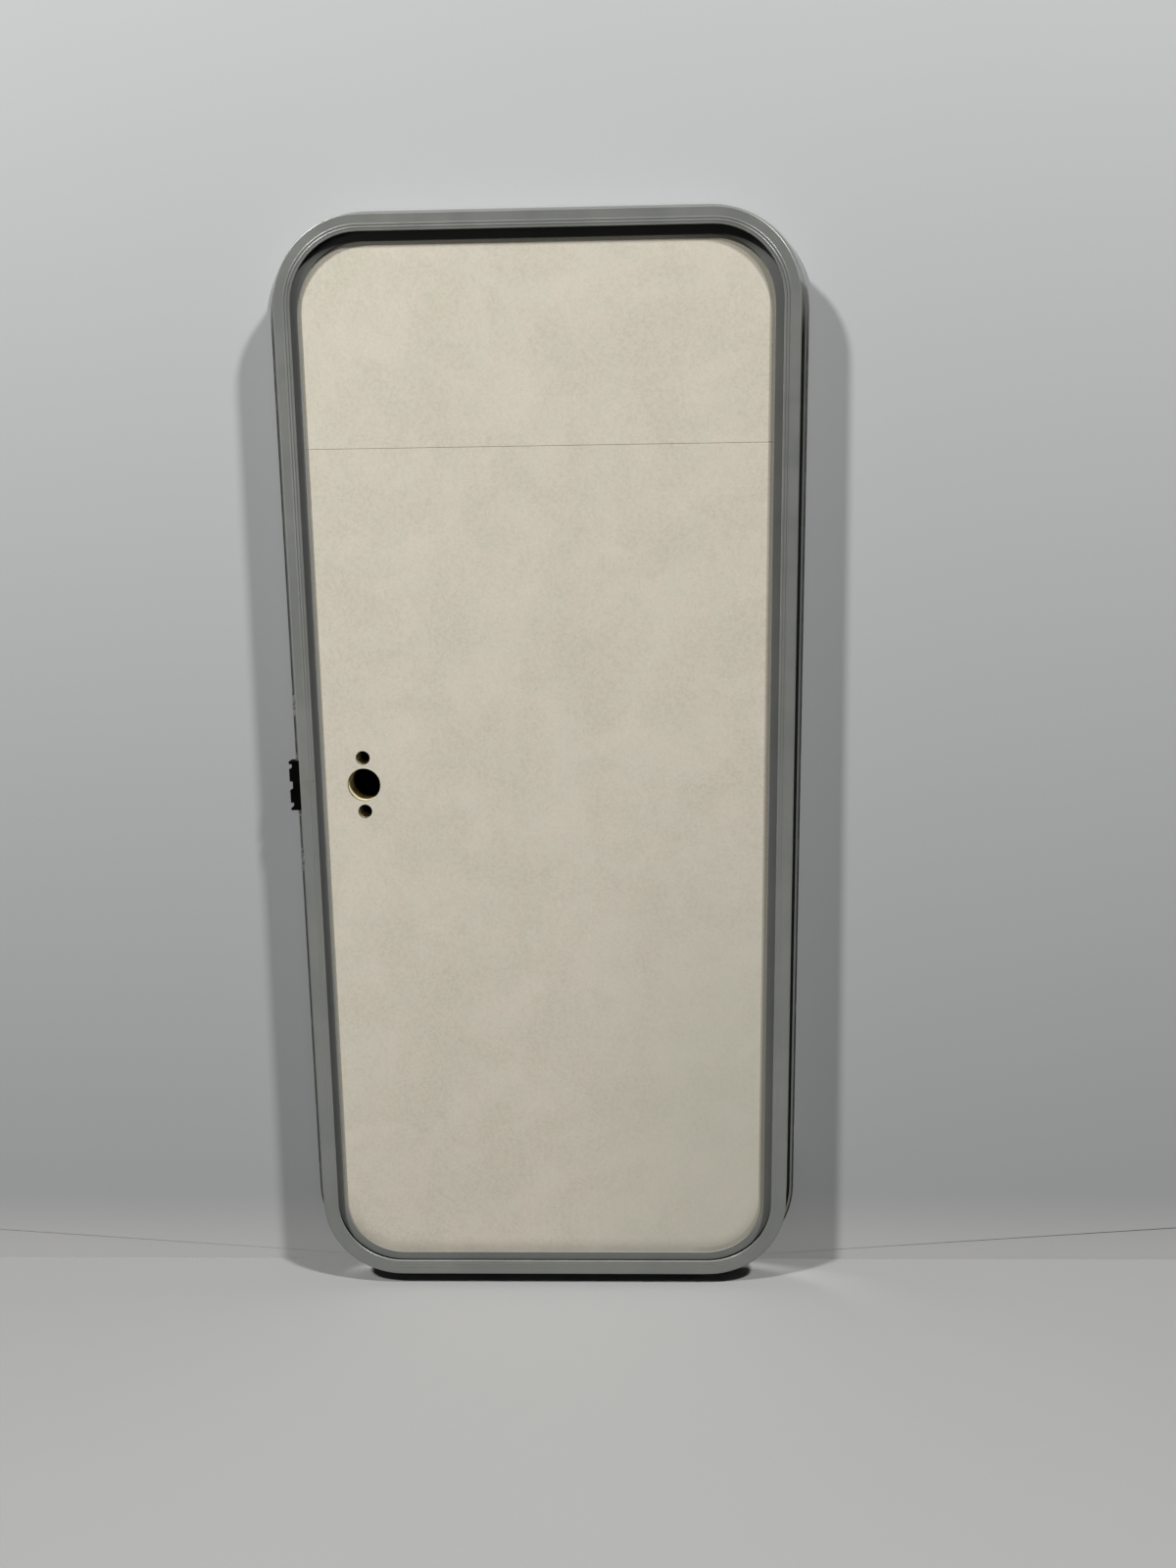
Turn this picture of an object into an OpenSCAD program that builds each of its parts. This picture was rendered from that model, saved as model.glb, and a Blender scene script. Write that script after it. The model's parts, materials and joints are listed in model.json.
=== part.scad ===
// Service hatch for a caravan wall: a bent aluminium frame with a hinged insulated door.
// +X is the viewer's right from inside the vehicle, +Y points out of the vehicle, +Z is up.
// The origin lies on the flange's mounting face, in the middle of the lower run.

/* [Frame] */
// Width of the inner ring, over its outer edges
ring_w = 460; // [400:1:700]
// Height of the inner ring, over its outer edges
ring_h = 1001; // [700:1:1200]
// Corner radius of the inner ring's outer edge
ring_r = 77; // [60:1:120]
// Width of the inner ring's face
face_w = 14.7; // [12:0.1:18]
// Distance from the flange's mounting face to the inner ring's face
wall_t = 34; // [28:0.5:44]
// Thickness of the inner ring's face
face_t = 1.3; // [1.2:0.1:3]
// Thickness of the web that passes through the wall
web_t = 2.5; // [1.6:0.1:4]
// How far the outer flange stands beyond the web
flange_w = 12; // [12:0.1:20]
// Thickness of the outer flange
flange_t = 3; // [2.5:0.1:4]
// How far the flange reaches inwards, as a step for the door's seal
step_w = 5; // [5:0.1:7]

/* [Door] */
// Width of the door over its edge trim
door_w = 435.6; // [373:0.1:674]
// Height of the door over its edge trim
door_h = 976.6; // [670:0.1:1171]
// Corner radius of the door's edge trim
door_r = 66.5; // [50:0.5:108]
// Depth of the trim's inner edge behind the inner ring's face
door_depth = 4.5; // [4.5:0.1:8]
// Width of the trim's face
trim_face_w = 9.7; // [8:0.1:14]
// How far the trim's face slopes down to its outer edge
trim_fall = 1.1; // [0.6:0.1:1.4]
// Depth of the inner board behind the trim's inner edge
board_drop = 1.7; // [1.3:0.1:3]
// Thickness of the trim's walls
trim_t = 1.5; // [1.2:0.1:2]
// How far the trim's outer flange overlaps the frame
overlap_w = 13.2; // [12:0.1:13.2]
// Thickness of the inner board
board_t = 3; // [2:0.5:6]
// Thickness of the outer skin
skin_t = 1.2; // [0.8:0.1:2]
// Height of the board's seam above the door's middle
seam_z = 305.2; // [150:0.1:320]

/* [Lock] */
// Distance from the door's middle to the lock holes
lock_x = 170.8; // [140:0.1:180]
// Diameter of the lock's main hole
lock_d = 31; // [20:0.5:36]
// Diameter of the two screw holes
lock_screw_d = 13.2; // [4:0.1:14]
// Distance between the two screw holes
lock_pitch = 51; // [50:0.5:70]
// Height of the black keeper beside the frame
keeper_h = 46.8; // [44:0.2:48]
// How far the keeper stands out from the web
keeper_w = 11.6; // [9:0.1:20]

/* [Hinge] */
// Length of the hinge
hinge_l = 780; // [500:10:840]
// Number of knuckles, an odd number
knuckles = 11; // [5:2:21]
// Radius of a knuckle
knuckle_r = 3.5; // [3:0.1:4]
// Radius of the hinge pin
pin_r = 2; // [1.5:0.1:2]

/* [Hidden] */
$fn = 48;

// Flat land of the flange between the web and the gasket's groove
land_w = 5.5;
// Height of the frame's middle above the origin
mid_z = ring_h / 2 + land_w / 2;
// The gasket's groove in the flange
gasket_w = 2.7;
gasket_t = 2;
// The rubber edge round the flange, and the tongue that it sits on
rim_w = 2;
rim_x = flange_w - rim_w;
tongue_w = 1;
edge_r = 1.2;
// The fine ribs on the ring's face, as distances from its outer edge
ribs = [8.8, 11.3];
rib_r = 0.5;
rib_h = 0.12;

// Door levels, as distances from the mounting face towards the inside
door_front = wall_t - door_depth;
overlap_t = 2;
seal_gap = 0.3;
seal_t = 3.2;
// Distance of the seal's bead from the door's edge
seal_x = 10.2;
door_back = -(flange_t + seal_t + seal_gap + overlap_t);
board_front = door_front - board_drop;
board_back = board_front - board_t;
// The trim's front wall is thin, and the board ends where it has room under the slope
lip_t = 1;
lip_x = trim_face_w - lip_t / 2;
lip_room = board_drop - lip_t - 0.1;
board_in = lip_x - lip_room * (lip_x - trim_t) / trim_fall;
skin_front = door_back + trim_t + skin_t;
rear_lip_w = 8;
// The core and the skin keep this far from the trim's side wall
edge_gap = 0.2;
// Door's middle, seen from the frame's middle
door_mid = [-0.2, 0, 0];

block_w = 72;
block_h = 150;
// The lock block starts this far inside the door's edge
block_in = trim_t + edge_gap;

// The plate that bridges the frame's joint, and the lowest and highest level of its lugs
plate_l = 170;
plate_wall = 1;
lug_t = 4.2;
lugs = [[-83.7, -62.8], [-30, -24.5], [22.9, 29.7], [65, 84.2]];
// Level of the keeper, seen from the frame's middle
keeper_z = -0.8;

hinge_x = ring_w / 2 + 6;
hinge_y = flange_t + 6;
plate_t = 2;
bore_gap = 0.05;
knuckle_gap = 0.6;
knuckle_pitch = hinge_l / knuckles;
knuckle_h = knuckle_pitch - knuckle_gap;
cap_t = 3;
screw_r = 1.8;
screw_head_r = 3.4;
screw_head_t = 1.6;
// Depth of the screws' heads in the keeper
screw_sink = 1;
hinge_screws = 8;

// Carries a section round a rounded rectangle. The section is drawn with x pointing
// out of the opening and y pointing towards the inside of the vehicle.
module loop(w, h, r) {
    rotate([90, 0, 0]) {
        for (q = [0 : 3]) {
            span_x = q % 2 == 0 ? w : h;
            span_y = q % 2 == 0 ? h : w;
            rotate([0, 0, 90 * q]) {
                translate([span_x / 2 - r, span_y / 2 - r, 0])
                    rotate_extrude(angle = 90, $fn = 96)
                        translate([r, 0])
                            children();
                translate([span_x / 2, span_y / 2 - r, 0])
                    rotate([90, 0, 0])
                        linear_extrude(span_y - 2 * r)
                            children();
            }
        }
    }
}

// A rounded rectangular plate between two levels
module plate(w, h, r, front, back) {
    translate([0, -front, 0])
        rotate([-90, 0, 0])
            linear_extrude(front - back)
                rounded_rectangle(w, h, r);
}

module rounded_rectangle(w, h, r) {
    square([w - 2 * r, h], center = true);
    square([w, h - 2 * r], center = true);
    for (x = [-1, 1], z = [-1, 1])
        translate([x * (w / 2 - r), z * (h / 2 - r)])
            circle(r, $fn = 96);
}

module at_frame() {
    translate([0, 0, mid_z])
        children();
}

module at_door() {
    at_frame()
        translate(door_mid)
            children();
}

// A screw with its head's seat at the origin and its shank running down -Z
module screw(shank) {
    translate([0, 0, -shank])
        cylinder(r = screw_r, h = shank);
    intersection() {
        cylinder(r = screw_head_r, h = screw_head_t);
        translate([0, 0, screw_head_t - 2 * screw_head_r])
            sphere(2 * screw_head_r);
    }
}

// Frame

module frame_section() {
    difference() {
        union() {
            translate([face_t / 2 - face_w, wall_t - face_t])
                square([face_w - face_t / 2 - edge_r, face_t]);
            for (rib = ribs)
                translate([-rib, wall_t + rib_h - rib_r])
                    circle(rib_r);
            translate([face_t / 2 - face_w, wall_t - face_t / 2])
                circle(face_t / 2);
            translate([-edge_r, wall_t - edge_r])
                circle(edge_r);
            translate([-web_t, -flange_t])
                square([web_t, wall_t + flange_t - edge_r]);
            translate([-step_w, -flange_t])
                square([step_w + rim_x, flange_t]);
            rim_tongue();
        }
        translate([land_w, -gasket_t])
            square([gasket_w, gasket_t + 1]);
    }
}

module rim_tongue() {
    translate([rim_x - 0.1, -0.7 * flange_t])
        square([tongue_w + 0.1, 0.4 * flange_t]);
}

module frame_profile() {
    color([0.55, 0.56, 0.54])
        at_frame()
            loop(ring_w, ring_h, ring_r)
                frame_section();
}

module flange_gasket() {
    color([0.05, 0.05, 0.05])
        at_frame()
            loop(ring_w, ring_h, ring_r)
                translate([land_w, -gasket_t])
                    square([gasket_w, gasket_t]);
}

module rim_seal() {
    bead_r = flange_t / 2;
    color([0.05, 0.05, 0.05])
        at_frame()
            loop(ring_w, ring_h, ring_r)
                difference() {
                    union() {
                        translate([rim_x, -flange_t])
                            square([rim_w - bead_r, flange_t]);
                        intersection() {
                            translate([flange_w - bead_r, -bead_r])
                                circle(bead_r);
                            translate([flange_w - bead_r, -flange_t])
                                square([bead_r, flange_t]);
                        }
                    }
                    rim_tongue();
                }
}

module stop_seal() {
    seal_w = face_w - web_t - 1;
    color([0.05, 0.05, 0.05])
        at_frame()
            loop(ring_w, ring_h, ring_r)
                translate([-web_t - seal_w, wall_t - face_t - 1.6])
                    square([seal_w, 1.6]);
}

module joint_plate() {
    color([0.6, 0.6, 0.58])
        at_frame()
            translate([-ring_w / 2, 0, 0]) {
                translate([-plate_wall, -24, -plate_l / 2])
                    cube([plate_wall, 18, plate_l]);
                for (lug = lugs)
                    translate([-plate_wall - lug_t, -24, lug[0]])
                        cube([lug_t + 0.5, 13, lug[1] - lug[0]]);
            }
}

module joint_screws() {
    color([0.7, 0.7, 0.68])
        at_frame()
            for (z = [-78.3, -68.2, 69.6, 79.6])
                translate([-ring_w / 2 - plate_wall - lug_t, -17.5, z])
                    rotate([0, -90, 0])
                        screw(plate_wall + lug_t + 1);
}

module lock_keeper() {
    notch_d = 2.7;
    color([0.03, 0.03, 0.03])
        at_frame()
            translate([-ring_w / 2, 0, keeper_z])
                difference() {
                    translate([-keeper_w, -26, -keeper_h / 2])
                        cube([keeper_w - plate_wall, 13, keeper_h]);
                    for (notch = [[-18.6, 4.8], [0.1, 8], [18.4, 4.6]])
                        translate([-keeper_w - 1, -27, notch[0] - notch[1] / 2])
                            cube([notch_d + 1, 15, notch[1]]);
                }
}

module keeper_screws() {
    color([0.7, 0.7, 0.68])
        at_frame()
            for (z = [-10.5, 10.5])
                translate([-ring_w / 2 - keeper_w + screw_sink, -19.5, keeper_z + z])
                    rotate([0, -90, 0])
                        screw(keeper_w - screw_sink + 1);
}

// Hinge

// One knuckle's place along the hinge, counted from the bottom
function knuckle_z(i) = (i - (knuckles - 1) / 2) * knuckle_pitch;

module knuckle(i) {
    translate([hinge_x, hinge_y, knuckle_z(i) - knuckle_h / 2])
        cylinder(r = knuckle_r, h = knuckle_h);
}

module pin_bore() {
    translate([hinge_x, hinge_y, -hinge_l / 2 - 1])
        cylinder(r = pin_r + bore_gap, h = hinge_l + 2);
}

module hinge_frame_leaf() {
    foot_x = hinge_x - 3;
    color([0.6, 0.61, 0.6])
        at_frame()
            difference() {
                union() {
                    translate([foot_x, flange_t, -hinge_l / 2])
                        cube([ring_w / 2 + rim_x - foot_x, plate_t, hinge_l]);
                    for (i = [0 : 2 : knuckles - 1]) {
                        knuckle(i);
                        translate([hinge_x - 2, flange_t, knuckle_z(i) - knuckle_h / 2])
                            cube([4, hinge_y - flange_t, knuckle_h]);
                    }
                }
                pin_bore();
            }
}

module hinge_door_leaf() {
    plate_y = -door_back;
    plate_x = hinge_x - 24;
    color([0.6, 0.61, 0.6])
        at_frame()
            difference() {
                union() {
                    translate([plate_x, plate_y, -hinge_l / 2])
                        cube([19, plate_t, hinge_l]);
                    for (i = [1 : 2 : knuckles - 2]) {
                        knuckle(i);
                        translate([plate_x, plate_y, knuckle_z(i) - knuckle_h / 2])
                            cube([hinge_x - plate_x, plate_t, knuckle_h]);
                    }
                }
                pin_bore();
            }
}

module hinge_pin() {
    color([0.7, 0.7, 0.7])
        at_frame()
            translate([hinge_x, hinge_y, -hinge_l / 2])
                cylinder(r = pin_r, h = hinge_l);
}

module hinge_cap() {
    translate([hinge_x, hinge_y, 0])
        cylinder(r = knuckle_r, h = cap_t);
    translate([hinge_x - 2, flange_t, 0])
        cube([4, hinge_y - flange_t, cap_t]);
}

module hinge_cap_top() {
    color([0.1, 0.1, 0.1])
        at_frame()
            translate([0, 0, hinge_l / 2])
                hinge_cap();
}

module hinge_cap_bottom() {
    color([0.1, 0.1, 0.1])
        at_frame()
            translate([0, 0, -hinge_l / 2 - cap_t])
                hinge_cap();
}

function hinge_screw_z(i) = ((i + 0.5) / hinge_screws - 0.5) * hinge_l;

module hinge_door_screws() {
    color([0.7, 0.7, 0.68])
        at_frame()
            for (i = [0 : hinge_screws - 1])
                translate([hinge_x - 14, -door_back + plate_t, hinge_screw_z(i)])
                    rotate([-90, 0, 0])
                        screw(3.6);
}

// Door

module trim_section() {
    corner = door_front - trim_fall;
    polygon([[-lip_x, door_front], [-trim_t, corner],
             [-trim_t, corner - lip_t], [-lip_x, door_front - lip_t]]);
    translate([-lip_x, door_front - lip_t / 2])
        circle(lip_t / 2);
    intersection() {
        translate([-trim_t, corner - trim_t])
            circle(trim_t);
        translate([-trim_t, corner - trim_t])
            square(trim_t);
    }
    translate([-trim_t, door_back])
        square([trim_t, corner - trim_t - door_back]);
    translate([-rear_lip_w, door_back])
        square([rear_lip_w, trim_t]);
    translate([0, door_back])
        square([overlap_w - overlap_t / 2, overlap_t]);
    translate([overlap_w - overlap_t / 2, door_back + overlap_t / 2])
        circle(overlap_t / 2);
}

module door_edge_trim() {
    color([0.55, 0.56, 0.54])
        at_door()
            loop(door_w, door_h, door_r)
                trim_section();
}

// A strip with a round bead that presses on the frame's step
module seal_section() {
    bead_r = seal_t / 2;
    translate([seal_x - bead_r - 0.4, door_back + overlap_t])
        square([2 * bead_r + 0.8, bead_r]);
    translate([seal_x, door_back + overlap_t + bead_r])
        circle(bead_r);
}

module door_seal() {
    color([0.05, 0.05, 0.05])
        at_door()
            loop(door_w, door_h, door_r)
                seal_section();
}

module lock_holes() {
    for (hole = [[0, lock_d], [lock_pitch / 2, lock_screw_d], [-lock_pitch / 2, lock_screw_d]])
        translate([-lock_x, -board_front - 1, hole[0]])
            rotate([-90, 0, 0])
                cylinder(d = hole[1], h = board_front - skin_front + 1);
}

module inner_board() {
    plate(door_w - 2 * board_in, door_h - 2 * board_in, door_r - board_in, board_front, board_back);
}

module board_half(side) {
    seam_gap = 0.3;
    intersection() {
        inner_board();
        translate([-door_w / 2, -board_front - 1, side > 0 ? seam_z + seam_gap / 2 : -door_h])
            cube([door_w, board_t + 2, side > 0 ? door_h : door_h + seam_z - seam_gap / 2]);
    }
}

module inner_board_upper() {
    color([0.83, 0.8, 0.72])
        at_door()
            board_half(1);
}

module inner_board_lower() {
    color([0.83, 0.8, 0.72])
        at_door()
            difference() {
                board_half(-1);
                lock_holes();
            }
}

module block_space(gap) {
    translate([-door_w / 2 + block_in, -board_back, -block_h / 2 - gap])
        cube([block_w + gap, board_back - skin_front, block_h + 2 * gap]);
}

module lock_block() {
    color([0.75, 0.62, 0.42])
        at_door()
            difference() {
                block_space(0);
                lock_holes();
            }
}

module door_core() {
    inset = 2 * (trim_t + edge_gap);
    color([0.9, 0.9, 0.88])
        at_door()
            difference() {
                plate(door_w - inset, door_h - inset, door_r - inset / 2, board_back, skin_front);
                block_space(0.1);
                translate([-door_w / 2, -board_back - 1, -block_h / 2 - 0.1])
                    cube([10, board_back - skin_front + 2, block_h + 0.2]);
            }
}

module outer_skin() {
    inset = 2 * (trim_t + edge_gap);
    color([0.92, 0.92, 0.9])
        at_door()
            plate(door_w - inset, door_h - inset, door_r - inset / 2, skin_front, door_back + trim_t);
}

frame_profile();
flange_gasket();
rim_seal();
stop_seal();
joint_plate();
joint_screws();
lock_keeper();
keeper_screws();
hinge_frame_leaf();
hinge_pin();
hinge_cap_top();
hinge_cap_bottom();
door_edge_trim();
inner_board_upper();
inner_board_lower();
lock_block();
door_core();
outer_skin();
door_seal();
hinge_door_leaf();
hinge_door_screws();
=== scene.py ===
"""Looks of the service hatch: materials, stage, lamps and camera."""

import json
import math

import bpy
from mathutils import Matrix, Vector


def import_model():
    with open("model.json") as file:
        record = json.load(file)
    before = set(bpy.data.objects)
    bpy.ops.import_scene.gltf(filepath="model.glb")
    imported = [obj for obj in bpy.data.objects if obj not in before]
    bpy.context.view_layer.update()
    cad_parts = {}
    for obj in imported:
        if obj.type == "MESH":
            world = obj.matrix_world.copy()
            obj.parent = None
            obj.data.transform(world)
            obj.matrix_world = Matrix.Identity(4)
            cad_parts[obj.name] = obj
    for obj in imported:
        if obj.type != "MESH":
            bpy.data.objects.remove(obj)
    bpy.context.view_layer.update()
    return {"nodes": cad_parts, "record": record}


# Places on the part, in metres
MID_Z = 0.50325
RING_MID = (0.0, MID_Z)
DOOR_MID = (-0.0002, MID_Z)
RING_HALF = (0.230, 0.5005)
RING_R = 0.077
DOOR_HALF = (0.2178, 0.4883)
DOOR_R = 0.0665
RIBS = (0.0094, 0.0118)
RIB_HEIGHT = 0.0003
RIB_RISE = 0.0002
RIB_FALL = 0.0012
STAIN_X = (-0.2266, -0.2168)
STAIN_Z = (0.4930, 0.5104)
SPECK_AT = (-0.2169, 0.0, 0.5082)
TRIM_FACE_W = 0.0097
BOARD_HALF = (DOOR_HALF[0] - TRIM_FACE_W, DOOR_HALF[1] - TRIM_FACE_W)
BOARD_R = DOOR_R - TRIM_FACE_W
BOARD_BACK_Y = -0.0248

# Camera of the photograph
CAMERA_AT = (0.0692, -1.1129, 0.6959)
CAMERA_TURN = (79.878, 0.763, 1.427)
LENS_MM = 27.07

# Lamps: the way towards each from the hatch's middle, its distance, width and power. The hatch
# and the stage have sets of their own, because the photo's shadows on the hatch and on the wall
# don't fit one set at the built depths.
LAMP_TARGET = Vector((0.0, -0.03, MID_Z))
HATCH_LAMPS = (
    ((-0.5074, -0.3786, 0.7762), 4.80, 0.250, 239.0),
    ((0.5864, -0.3332, 0.7383), 7.50, 0.398, 600.0),
    ((-0.80, -0.57, 0.17), 1.6, 0.9, 4.1),
)
STAGE_LAMPS = (
    ((-0.5408, -0.4656, 0.6988), 3.20, 0.23, 92.0),
    ((0.4527, -0.4153, 0.789), 3.42, 0.26, 106.0),
)
BACK_LAMP = ((-0.50, 0.50, 0.707), 2.3, 1.2, 45.0)

# The floor and the far wall, with a wide bend between them
FLOOR_Z = -0.0094
FLOOR_FRONT_Y = -4.5
BEND_Y = 1.1
BEND_R = 1.2
BEND_STEPS = 24
STAGE_TOP_Z = 6.0
STAGE_HALF_W = 6.0

# The wall right behind the hatch leans a little. It has a hole that the hatch covers and
# that the door swings through.
WALL_FOOT_Z = FLOOR_Z - 0.01
WALL_FOOT_Y = 0.0135
WALL_LEAN = -0.0095
WALL_HOLE_HALF = (0.2415, 0.5115)
WALL_HOLE_R = 0.0885
WALL_ARC_STEPS = 40
WALL_REACH = 24

# The stage's colour for light that has bounced
STAGE_BOUNCE = (0.05, 0.05, 0.05)

# The world's light, and what glossy surfaces see: the pale wall behind and the dark room in front
WORLD_LIGHT = (0.02, 0.0203, 0.021)
WALL_SEEN = (0.46, 0.465, 0.475)
ROOM_SEEN = (0.02, 0.02, 0.02)

# Pale tone over the flange and the rubber of the frame's upper run. They are built there, but
# don't show in the photo, so this hides them against the wall.
PALE_COVER = (0.33, 0.335, 0.34)


class Paint:
    """One procedural material, built node by node. Numbers and sockets mix freely."""

    def __init__(self, name, **fixed):
        self.made = bpy.data.materials.new(name)
        self.made.use_nodes = True
        self.tree = self.made.node_tree
        self.tree.nodes.clear()
        self.shader = self.tree.nodes.new("ShaderNodeBsdfPrincipled")
        self.out = self.tree.nodes.new("ShaderNodeOutputMaterial")
        self.tree.links.new(self.shader.outputs[0], self.out.inputs["Surface"])
        coords = self.tree.nodes.new("ShaderNodeTexCoord")
        self.place = coords.outputs["Object"]
        self.facing = coords.outputs["Normal"]
        for socket, value in fixed.items():
            self.put(socket.replace("_", " "), value)

    def put(self, socket, value):
        self.feed(self.shader.inputs[socket], value)

    def feed(self, socket, value):
        if isinstance(value, bpy.types.NodeSocket):
            self.tree.links.new(value, socket)
        elif isinstance(value, tuple) and len(value) == 3 and socket.type == "RGBA":
            socket.default_value = (*value, 1.0)
        else:
            socket.default_value = value

    def node(self, kind, inputs, output=0, **attributes):
        made = self.tree.nodes.new("ShaderNode" + kind)
        for name, value in attributes.items():
            setattr(made, name, value)
        for key, value in inputs.items():
            self.feed(made.inputs[key], value)
        return made.outputs[output]

    def math(self, operation, a, b=0.0):
        return self.node("Math", {0: a, 1: b}, operation=operation)

    def stretched(self, scale):
        return self.node("Mapping", {"Vector": self.place, "Scale": scale})

    def noise(self, scale, detail=3.0, rough=0.5, vector=None, twist=0.0):
        source = self.place if vector is None else vector
        values = {"Vector": source, "Scale": scale, "Detail": detail,
                  "Roughness": rough, "Distortion": twist}
        return self.node("TexNoise", values)

    def fade(self, value, low, high, start=0.0, end=1.0):
        values = {"Value": value, 1: low, 2: high, 3: start, 4: end}
        return self.node("MapRange", values, interpolation_type="SMOOTHSTEP")

    def mix(self, share, a, b):
        made = self.tree.nodes.new("ShaderNodeMix")
        made.data_type = "RGBA"
        self.feed(made.inputs[0], share)
        self.feed(made.inputs[6], a)
        self.feed(made.inputs[7], b)
        return made.outputs[2]

    def bump(self, height, strength, depth):
        values = {"Height": height, "Strength": strength, "Distance": depth}
        self.put("Normal", self.node("Bump", values))

    def part(self, axis, vector=None):
        source = self.place if vector is None else vector
        return self.node("SeparateXYZ", {0: source}, output="XYZ".index(axis))

    def across(self, mid, half, radius):
        """Distance outwards from a rounded rectangle, so lines follow the bends."""
        beyond = []
        for axis, centre, reach in (("X", mid[0], half[0]), ("Z", mid[1], half[1])):
            offset = self.math("SUBTRACT", self.part(axis), centre)
            away = self.math("SUBTRACT", self.math("ABSOLUTE", offset), reach - radius)
            beyond.append(self.math("MAXIMUM", away, 0.0))
        squares = [self.math("MULTIPLY", b, b) for b in beyond]
        corner = self.math("SQRT", self.math("ADD", squares[0], squares[1]))
        return self.math("SUBTRACT", corner, radius)


# Materials


def grey_coating(name, across_of, gloss, metal):
    """Satin grey coating over an extrusion, with die lines that follow its bends.

    Returns its parts for the caller to add to: the tone and the height aren't joined up yet.
    """
    paint = Paint(name, Metallic=metal, Specular_IOR_Level=0.5)
    across = paint.across(*across_of)
    line_place = paint.node("CombineXYZ", {0: across, 1: paint.part("Y"), 2: 0.0})
    lines = paint.noise(2600.0, 2.0, 0.6, line_place)
    cloud = paint.noise(18.0, 4.0, 0.6)
    dust = paint.noise(420.0, 3.0, 0.7)
    tone = paint.mix(paint.fade(cloud, 0.35, 0.7), (0.212, 0.222, 0.212), (0.238, 0.247, 0.235))
    tone = paint.mix(paint.fade(lines, 0.35, 0.65, 0.0, 0.2), tone, (0.265, 0.272, 0.26))
    tone = paint.mix(paint.fade(dust, 0.66, 0.74, 0.0, 0.3), tone, (0.34, 0.345, 0.33))
    height = paint.math("MULTIPLY", lines, 0.000008)
    height = paint.math("ADD", height, paint.math("MULTIPLY", dust, 0.000004))
    paint.put("Roughness", paint.fade(cloud, 0.3, 0.75, *gloss))
    return paint, across, tone, height


def ring_coating():
    """The frame's coating: two fine ribs with painted shadow lines, a smear, a pale upper flange.
    """
    paint, across, tone, height = grey_coating(
        "frame_grey", (RING_MID, RING_HALF, RING_R), (0.32, 0.42), 0.3)
    # A fade with height, not wear: the ribs' bump and their painted shadow lines fade out towards
    # the foot.
    rubber_wear_and_rib_fade = paint.fade(paint.part("Z"), 0.15, 0.95)
    front = paint.math("LESS_THAN", paint.part("Y", paint.facing), -0.9)
    for crest in RIBS:
        rise = paint.fade(across, -crest - RIB_RISE, -crest + RIB_FALL, RIB_HEIGHT, 0.0)
        inside = paint.math("GREATER_THAN", across, -crest - 0.0003)
        rise = paint.math("MULTIPLY", rise, inside)
        height = paint.math("ADD", height, paint.math("MULTIPLY", rise, rubber_wear_and_rib_fade))
        # Painted shadow: a dark line on the front face just inside each rib.
        past = paint.math("ADD", across, crest + 0.0007)
        rib_shadow = paint.fade(paint.math("ABSOLUTE", past), 0.0002, 0.0006, 0.75, 0.0)
        rib_shadow = paint.math("MULTIPLY", paint.math("MULTIPLY", rib_shadow, rubber_wear_and_rib_fade), front)
        tone = paint.mix(rib_shadow, tone, (0.11, 0.115, 0.11))
    beyond = paint.fade(across, 0.0002, 0.0012, 0.0, 0.9)
    covered = paint.math("MULTIPLY", beyond, paint.fade(paint.part("Z"), 0.90, 0.96))
    paint.put("Base Color", paint.mix(covered, stained(paint, tone), PALE_COVER))
    paint.bump(height, 1.0, 1.0)
    return paint.made


def trim_coating():
    """The door trim's coating, with painted shade under the frame's upper run.

    The photo is darker there than the built depth of the gap makes it.
    """
    paint, _, tone, height = grey_coating(
        "trim_grey", (DOOR_MID, DOOR_HALF, DOOR_R), (0.55, 0.65), 0.1)
    # Painted shade on the trim's upper run, under the frame's lip.
    darker = paint.fade(paint.part("Z"), 0.960, 0.981, 0.1, 0.88)
    paint.put("Base Color", paint.mix(darker, tone, (0.008, 0.008, 0.007)))
    paint.bump(height, 1.0, 1.0)
    return paint.made


def stained(paint, clean):
    """The olive smear on the ring's face beside the keeper, with one darker speck."""
    fibres = paint.noise(260.0, 4.0, 0.7)
    blur = paint.math("MULTIPLY", paint.math("SUBTRACT", fibres, 0.5), 0.008)
    x = paint.math("ADD", paint.part("X"), blur)
    z = paint.math("ADD", paint.part("Z"), blur)
    share = 0.32
    for value, (low, high) in ((x, STAIN_X), (z, STAIN_Z)):
        middle = (low + high) / 2
        reach = (high - low) / 2
        away = paint.math("ABSOLUTE", paint.math("SUBTRACT", value, middle))
        within = paint.fade(away, reach - 0.003, reach + 0.001, 1.0, 0.0)
        share = paint.math("MULTIPLY", share, within)
    place = paint.node("CombineXYZ", {0: paint.part("X"), 1: 0.0, 2: paint.part("Z")})
    values = {0: place, 1: SPECK_AT}
    speck = paint.node("VectorMath", values, output="Value", operation="DISTANCE")
    tone = paint.mix(share, clean, (0.19, 0.187, 0.13))
    return paint.mix(paint.fade(speck, 0.0004, 0.0008, 0.6, 0.0), tone, (0.05, 0.048, 0.04))


def black_rubber(name="black_rubber", dark=0.004, rubber_wear_and_rib_fade=0.012, pale_top=0.0):
    """Black rubber. It is pale where it faces up and, if asked, on the frame's upper run."""
    paint = Paint(name, Roughness=0.65, Specular_IOR_Level=0.15)
    grain = paint.noise(900.0, 3.0, 0.6)
    cloud = paint.noise(60.0, 4.0, 0.65)
    tone = paint.mix(paint.fade(cloud, 0.45, 0.75), (dark,) * 3, (rubber_wear_and_rib_fade,) * 3)
    upward = paint.fade(paint.part("Z", paint.facing), 0.1, 0.45, 0.0, 0.9)
    top = paint.fade(paint.part("Z"), 0.90, 0.96, 0.0, pale_top)
    tone = paint.mix(paint.math("MAXIMUM", upward, top), tone, PALE_COVER)
    paint.put("Base Color", tone)
    paint.bump(grain, 0.3, 0.0001)
    return paint.made


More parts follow.
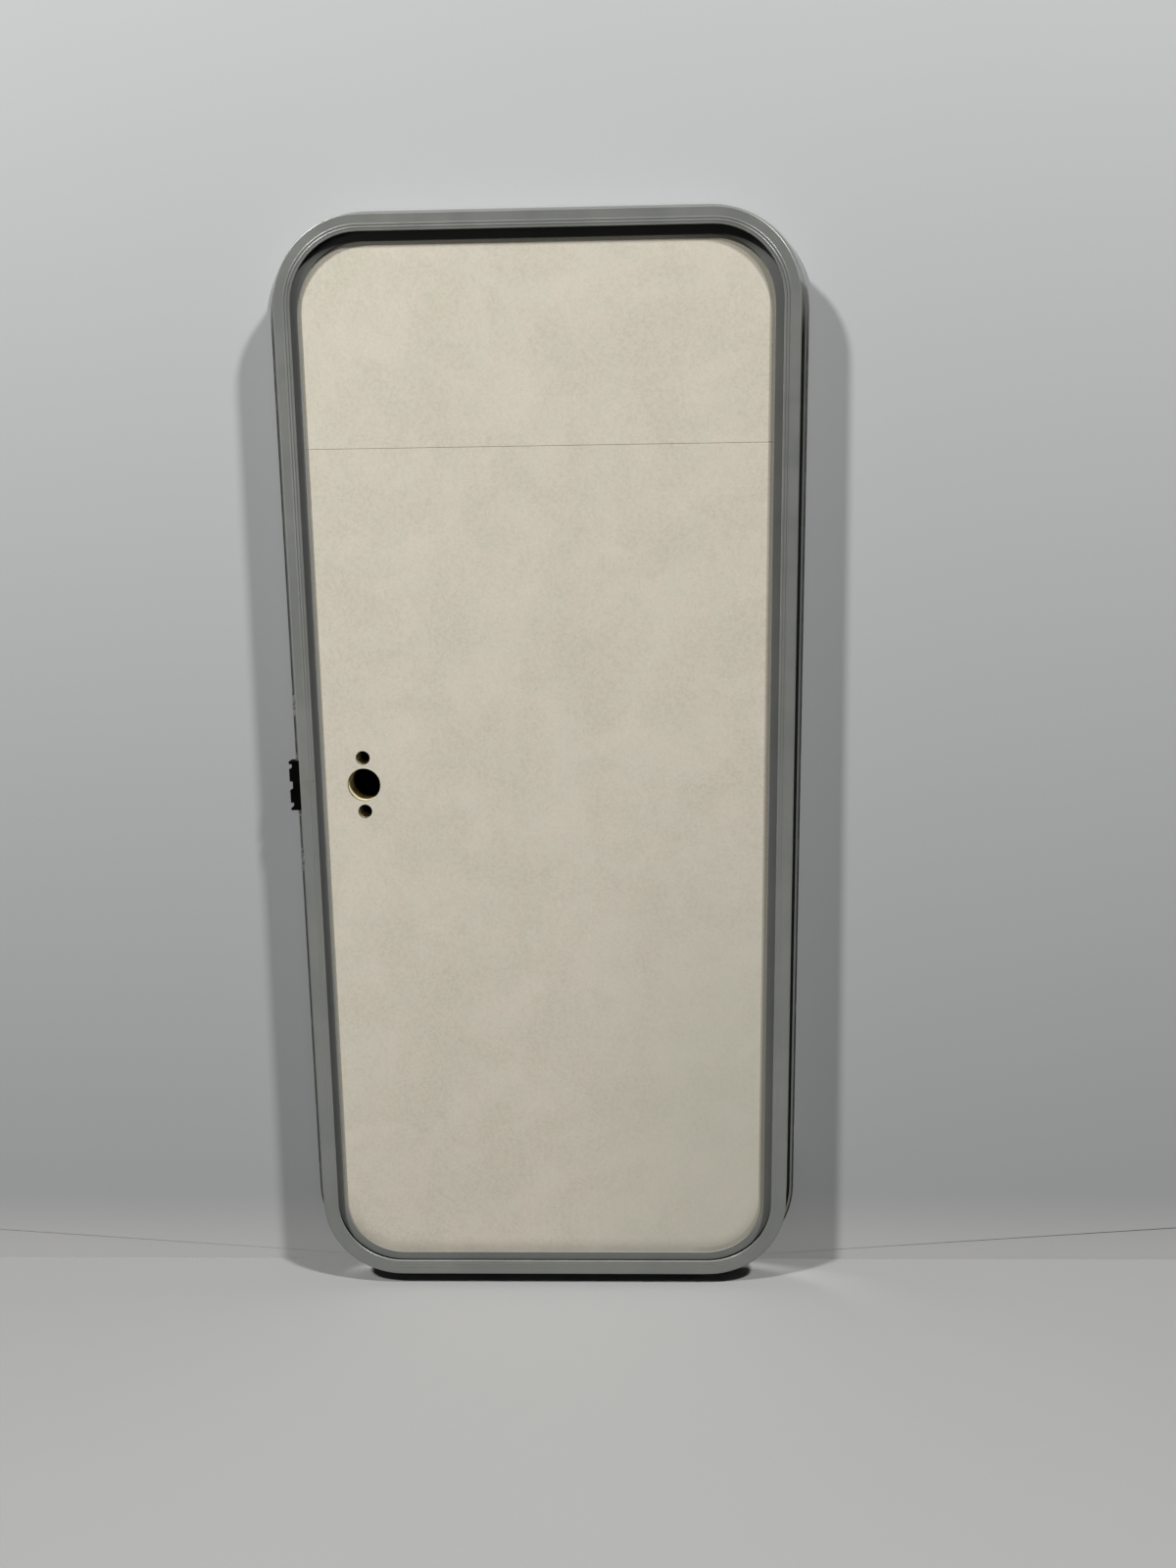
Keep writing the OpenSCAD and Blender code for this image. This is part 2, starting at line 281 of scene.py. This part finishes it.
def zinc_steel():
    paint = Paint("zinc_steel", Metallic=0.9)
    spangle = paint.noise(160.0, 3.0, 0.6, twist=0.4)
    grain = paint.noise(1.0, 3.0, 0.5, paint.stretched((200.0, 200.0, 1500.0)))
    tone = paint.mix(paint.fade(spangle, 0.35, 0.7), (0.42, 0.42, 0.40), (0.60, 0.60, 0.58))
    paint.put("Base Color", tone)
    paint.put("Roughness", paint.fade(grain, 0.3, 0.7, 0.3, 0.48))
    paint.bump(grain, 0.15, 0.00005)
    return paint.made


def dull_metal():
    """The dull cast metal of the plate over the frame's joint."""
    paint = Paint("joint_metal", Metallic=0.6, Specular_IOR_Level=0.3)
    cloud = paint.noise(220.0, 4.0, 0.65)
    pits = paint.noise(1200.0, 2.0, 0.6)
    tone = paint.mix(paint.fade(cloud, 0.35, 0.68), (0.13, 0.132, 0.128), (0.36, 0.362, 0.355))
    paint.put("Base Color", tone)
    paint.put("Roughness", paint.fade(cloud, 0.3, 0.7, 0.6, 0.42))
    paint.bump(pits, 0.3, 0.0001)
    return paint.made


def black_plastic():
    paint = Paint("black_plastic", Specular_IOR_Level=0.04)
    grain = paint.noise(1400.0, 2.0, 0.5)
    wear = paint.noise(120.0, 3.0, 0.6)
    tone = paint.mix(paint.fade(wear, 0.4, 0.8), (0.0005, 0.0005, 0.0005), (0.003, 0.003, 0.003))
    paint.put("Base Color", tone)
    paint.put("Roughness", paint.fade(wear, 0.3, 0.7, 0.52, 0.66))
    paint.bump(grain, 0.3, 0.00006)
    return paint.made


def anodised():
    """Satin anodised aluminium, with die lines along the hinge."""
    paint = Paint("hinge_aluminium", Metallic=1.0)
    lines = paint.noise(1.0, 2.0, 0.6, paint.stretched((2600.0, 2600.0, 3.0)))
    cloud = paint.noise(25.0, 3.0, 0.5)
    tone = paint.mix(paint.fade(cloud, 0.35, 0.7), (0.50, 0.51, 0.50), (0.60, 0.60, 0.59))
    tone = paint.mix(paint.fade(lines, 0.4, 0.7, 0.0, 0.3), tone, (0.42, 0.42, 0.41))
    paint.put("Base Color", tone)
    paint.put("Roughness", paint.fade(lines, 0.3, 0.7, 0.3, 0.42))
    paint.bump(lines, 0.2, 0.00005)
    return paint.made


def cream_board():
    """Cream decor film over fibreboard that shows, dark, at cut edges.

    The film is sponged with soft flecks. It is painted greyer low on the hinge side, and darker
    along the hinge side's edge and the foot, because the photo is. The cause isn't known there.
    """
    paint = Paint("cream_board", Specular_IOR_Level=0.35)
    flat = paint.stretched((1.0, 0.2, 1.0))
    patch = paint.noise(14.0, 6.0, 0.68, flat, twist=0.5)
    fleck = paint.noise(300.0, 4.0, 0.75, flat)
    speck = paint.noise(620.0, 3.0, 0.7, flat)
    tint = paint.noise(26.0, 4.0, 0.6, flat)
    weave = paint.noise(1.0, 2.0, 0.5, paint.stretched((500.0, 100.0, 2200.0)))
    base = paint.mix(paint.fade(tint, 0.36, 0.66), (0.622, 0.596, 0.507), (0.650, 0.595, 0.512))
    base = paint.mix(paint.fade(patch, 0.36, 0.66, 0.0, 0.65), base, (0.580, 0.550, 0.460))
    spots = paint.math("MULTIPLY", paint.fade(patch, 0.36, 0.62, 0.25, 1.0),
                       paint.fade(fleck, 0.40, 0.68))
    base = paint.mix(paint.math("MULTIPLY", spots, 0.52), base, (0.470, 0.440, 0.362))
    base = paint.mix(paint.fade(speck, 0.46, 0.70, 0.0, 0.36), base, (0.490, 0.460, 0.380))
    base = paint.mix(paint.fade(speck, 0.48, 0.30, 0.0, 0.22), base, (0.700, 0.662, 0.560))
    greyed = paint.math("MULTIPLY", paint.fade(paint.part("X"), -0.02, 0.19, 0.0, 0.55),
                        paint.fade(paint.part("Z"), 0.60, 0.12))
    base = paint.mix(greyed, base, (0.485, 0.478, 0.405))
    inset = paint.across(DOOR_MID, BOARD_HALF, BOARD_R)
    hinge_side = paint.math("MULTIPLY", paint.fade(inset, -0.0050, -0.0038, 0.0, 0.42),
                            paint.fade(paint.part("X"), 0.10, 0.16))
    foot = paint.math("MULTIPLY", paint.fade(inset, -0.016, 0.0, 0.0, 0.30),
                      paint.fade(paint.part("Z"), 0.10, 0.04))
    base = paint.mix(paint.math("MAXIMUM", hinge_side, foot), base, (0.050, 0.044, 0.030))
    edge_grain = paint.noise(900.0, 3.0, 0.6)
    fibre = paint.mix(paint.fade(edge_grain, 0.3, 0.7), (0.026, 0.018, 0.009), (0.055, 0.04, 0.02))
    front = paint.math("LESS_THAN", paint.part("Y", paint.facing), -0.7)
    paint.put("Base Color", paint.mix(front, fibre, base))
    paint.put("Roughness", paint.fade(weave, 0.3, 0.7, 0.5, 0.62))
    height = paint.math("ADD", weave, paint.math("MULTIPLY", fleck, 0.6))
    paint.bump(height, 0.2, 0.00006)
    return paint.made


def timber():
    """Grey-tan raw timber. Painted shade makes the bored holes black deep down, as in the photo."""
    paint = Paint("timber", Roughness=0.8, Specular_IOR_Level=0.1)
    rings = paint.noise(1.0, 4.0, 0.6, paint.stretched((260.0, 260.0, 14.0)), twist=0.3)
    pores = paint.noise(1.0, 2.0, 0.6, paint.stretched((1600.0, 1600.0, 120.0)))
    tone = paint.mix(paint.fade(rings, 0.35, 0.68), (0.66, 0.585, 0.40), (0.56, 0.49, 0.32))
    tone = paint.mix(paint.fade(pores, 0.55, 0.7, 0.0, 0.5), tone, (0.40, 0.34, 0.20))
    depth = paint.math("SUBTRACT", paint.part("Y"), BOARD_BACK_Y)
    # Painted shade in the bored holes: browner from 10 mm deep, then black by 28 mm.
    tone = paint.mix(paint.fade(depth, 0.010, 0.025), tone, (0.40, 0.31, 0.10))
    paint.put("Base Color", paint.mix(paint.fade(depth, 0.019, 0.028), tone, (0.004, 0.004, 0.002)))
    paint.bump(pores, 0.3, 0.0001)
    return paint.made


def foam():
    paint = Paint("foam", Roughness=0.85, Specular_IOR_Level=0.2)
    cells = paint.node("TexVoronoi", {"Vector": paint.place, "Scale": 700.0})
    tone = paint.mix(paint.fade(cells, 0.1, 0.6), (0.62, 0.62, 0.58), (0.78, 0.78, 0.75))
    paint.put("Base Color", tone)
    paint.bump(cells, 0.4, 0.0003)
    return paint.made


def white_skin():
    """White coated outer sheet. Its bonded side is black, painted shade where the lock holes end.
    """
    paint = Paint("white_skin")
    peel = paint.noise(380.0, 2.0, 0.5)
    cloud = paint.noise(5.0, 4.0, 0.6)
    tone = paint.mix(paint.fade(cloud, 0.35, 0.7), (0.72, 0.725, 0.71), (0.77, 0.77, 0.755))
    blotch = paint.noise(200.0, 3.0, 0.6)
    dark = paint.mix(paint.fade(blotch, 0.3, 0.7), (0.001, 0.001, 0.001), (0.003, 0.003, 0.003))
    # Painted shade: the bonded side is near black and without gloss, so the lock holes end dark.
    bonded = paint.math("LESS_THAN", paint.part("Y", paint.facing), -0.7)
    paint.put("Base Color", paint.mix(bonded, tone, dark))
    paint.put("Specular IOR Level", paint.fade(bonded, 0.0, 1.0, 0.5, 0.0))
    paint.put("Roughness", paint.fade(cloud, 0.3, 0.7, 0.28, 0.36))
    paint.bump(peel, 0.12, 0.00015)
    return paint.made


def dress(frame):
    """Gives every CAD node the material of its slot."""
    finishes = {
        "black_rubber": black_rubber(),
        "zinc_steel": zinc_steel(),
        "black_plastic": black_plastic(),
        "hinge_aluminium": anodised(),
        "cream_board": cream_board(),
        "timber": timber(),
        "foam": foam(),
        "white_skin": white_skin(),
        "frame_grey": ring_coating(),
    }
    own = {
        "door_edge_trim": trim_coating(),
        "rim_seal": black_rubber("rim_rubber", dark=0.05, rubber_wear_and_rib_fade=0.10, pale_top=0.85),
        "flange_gasket": black_rubber("gasket_rubber", pale_top=0.85),
        "joint_plate": dull_metal(),
    }
    for row in frame["record"]["subparts"]:
        finish = own.get(row["node"], finishes[row["material_slot"]])
        for place in frame["nodes"][row["node"]].material_slots:
            place.material = finish


# Stage, lamps and camera


def stage_material(name, tone, low_tone, low_height):
    """Pale paper that is seen and lit from its front only, and throws little light back."""
    paint = Paint(name, Roughness=0.9, Specular_IOR_Level=0.1)
    height = paint.part("Z", paint.node("NewGeometry", {}, output=0))
    shade = paint.mix(paint.fade(height, FLOOR_Z, FLOOR_Z + low_height), low_tone, tone)
    grain = paint.noise(3.0, 3.0, 0.5)
    shade = paint.mix(paint.fade(grain, 0.3, 0.7, 0.0, 0.05), shade, (0.4, 0.4, 0.4))
    bounced = paint.node("LightPath", {}, output="Is Diffuse Ray")
    paint.put("Base Color", paint.mix(bounced, shade, STAGE_BOUNCE))
    clear = paint.tree.nodes.new("ShaderNodeBsdfTransparent")
    behind = paint.node("NewGeometry", {}, output="Backfacing")
    both = paint.node("MixShader", {0: behind, 1: paint.shader.outputs[0], 2: clear.outputs[0]})
    paint.tree.links.new(both, paint.out.inputs["Surface"])
    return paint.made


def sheet(name, points, faces, material):
    mesh = bpy.data.meshes.new(name)
    mesh.from_pydata(points, [], faces)
    mesh.materials.append(material)
    made = bpy.data.objects.new(name, mesh)
    bpy.context.scene.collection.objects.link(made)
    return made


def near_wall():
    """The wall that the hatch leans on, round a hole in the shape of the hatch."""
    half_x, half_z = WALL_HOLE_HALF
    side = []
    for i in range(WALL_ARC_STEPS + 1):
        turn = math.pi * (i / WALL_ARC_STEPS - 0.5)
        z_shift = math.copysign(half_z - WALL_HOLE_R, turn)
        x = half_x - WALL_HOLE_R + WALL_HOLE_R * math.cos(turn)
        z = MID_Z + z_shift + WALL_HOLE_R * math.sin(turn)
        side.append((x, z))
    side.insert(0, (side[0][0], WALL_FOOT_Z))
    rim = side + [(-x, z) for x, z in reversed(side)]
    rim += [(WALL_REACH * x, WALL_FOOT_Z + WALL_REACH * (z - WALL_FOOT_Z)) for x, z in rim]
    points = [(x, WALL_FOOT_Y + WALL_LEAN * z, z) for x, z in rim]
    n = len(rim) // 2
    faces = [(i + 1, i, i + n, i + n + 1) for i in range(n - 1)]
    # Paler over its lowest 85 mm: painted light at the wall's foot.
    material = stage_material("wall_paper", (0.445, 0.455, 0.47), (0.60, 0.605, 0.61), 0.085)
    return sheet("near_wall", points, faces, material)


def backdrop():
    """A floor that rises into a far wall in one wide curve, behind the door's swing."""
    line = [(FLOOR_FRONT_Y, FLOOR_Z), (BEND_Y, FLOOR_Z)]
    for i in range(1, BEND_STEPS + 1):
        turn = math.pi / 2 * i / BEND_STEPS
        line.append((BEND_Y + BEND_R * math.sin(turn), FLOOR_Z + BEND_R * (1 - math.cos(turn))))
    line.append((BEND_Y + BEND_R, STAGE_TOP_Z))
    points = [(x, y, z) for y, z in line for x in (-STAGE_HALF_W, STAGE_HALF_W)]
    faces = [(2 * i, 2 * i + 1, 2 * i + 3, 2 * i + 2) for i in range(len(line) - 1)]
    material = stage_material("floor_paper", (0.46, 0.465, 0.475), (0.335, 0.34, 0.342), 0.9)
    made = sheet("backdrop", points, faces, material)
    made.data.shade_smooth()
    return made


def lamp(name, setting):
    """A soft round lamp that points at the hatch's middle."""
    way, distance, size, watts = setting
    light = bpy.data.lights.new(name, "AREA")
    light.shape = "DISK"
    light.size = size
    light.energy = watts
    light.color = (1.0, 0.985, 0.96)
    holder = bpy.data.objects.new(name, light)
    bpy.context.scene.collection.objects.link(holder)
    turn = (-Vector(way)).to_track_quat("-Z", "Y").to_matrix().to_4x4()
    holder.matrix_world = Matrix.Translation(LAMP_TARGET + Vector(way) * distance) @ turn
    holder.visible_camera = False
    return holder


def keep_to(holder, stage, state):
    """Makes a lamp light only the stage (INCLUDE) or everything but the stage (EXCLUDE)."""
    group = bpy.data.collections.new(holder.name + "_stage")
    for thing in stage:
        group.objects.link(thing)
    for entry in group.collection_objects:
        entry.light_linking.link_state = state
    holder.light_linking.receiver_collection = group


def lamps(stage):
    for i, setting in enumerate(HATCH_LAMPS):
        keep_to(lamp("hatch_lamp_%d" % (i + 1), setting), stage, "EXCLUDE")
    for i, setting in enumerate(STAGE_LAMPS):
        keep_to(lamp("stage_lamp_%d" % (i + 1), setting), stage, "INCLUDE")
    lamp("back_lamp", BACK_LAMP)


def world():
    """Even light. Glossy surfaces see the pale wall behind the hatch and a dark room in front."""
    made = bpy.data.worlds.new("studio")
    bpy.context.scene.world = made
    made.use_nodes = True
    tree = made.node_tree
    tree.nodes.clear()

    def node(kind, **inputs):
        new = tree.nodes.new("ShaderNode" + kind)
        for socket, value in inputs.items():
            if isinstance(value, bpy.types.NodeSocket):
                tree.links.new(value, new.inputs[int(socket[1:])])
            else:
                new.inputs[int(socket[1:])].default_value = value
        return new

    path = node("LightPath").outputs
    way = node("SeparateXYZ", _0=node("TexCoord").outputs["Generated"]).outputs[1]
    wall = node("MapRange", _0=way, _1=-0.1, _2=0.3).outputs[0]
    room, pale, light = [node("Background", _0=(*colour, 1.0)).outputs[0]
                         for colour in (ROOM_SEEN, WALL_SEEN, WORLD_LIGHT)]
    mirrored = node("MixShader", _0=wall, _1=room, _2=pale).outputs[0]
    shown = node("MixShader", _0=path["Is Glossy Ray"], _1=light, _2=mirrored).outputs[0]
    shown = node("MixShader", _0=path["Is Transmission Ray"], _1=shown, _2=pale).outputs[0]
    shown = node("MixShader", _0=path["Is Camera Ray"], _1=shown, _2=pale).outputs[0]
    node("OutputWorld", _0=shown)


def camera():
    data = bpy.data.cameras.new("camera")
    data.lens = LENS_MM
    data.sensor_width = 36.0
    data.sensor_fit = "AUTO"
    data.clip_start = 0.01
    holder = bpy.data.objects.new("camera", data)
    bpy.context.scene.collection.objects.link(holder)
    holder.location = CAMERA_AT
    holder.rotation_euler = [math.radians(a) for a in CAMERA_TURN]
    bpy.context.scene.camera = holder


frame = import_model()
bpy.context.scene.view_settings.view_transform = "Standard"
camera()
dress(frame)
lamps([backdrop(), near_wall()])
world()
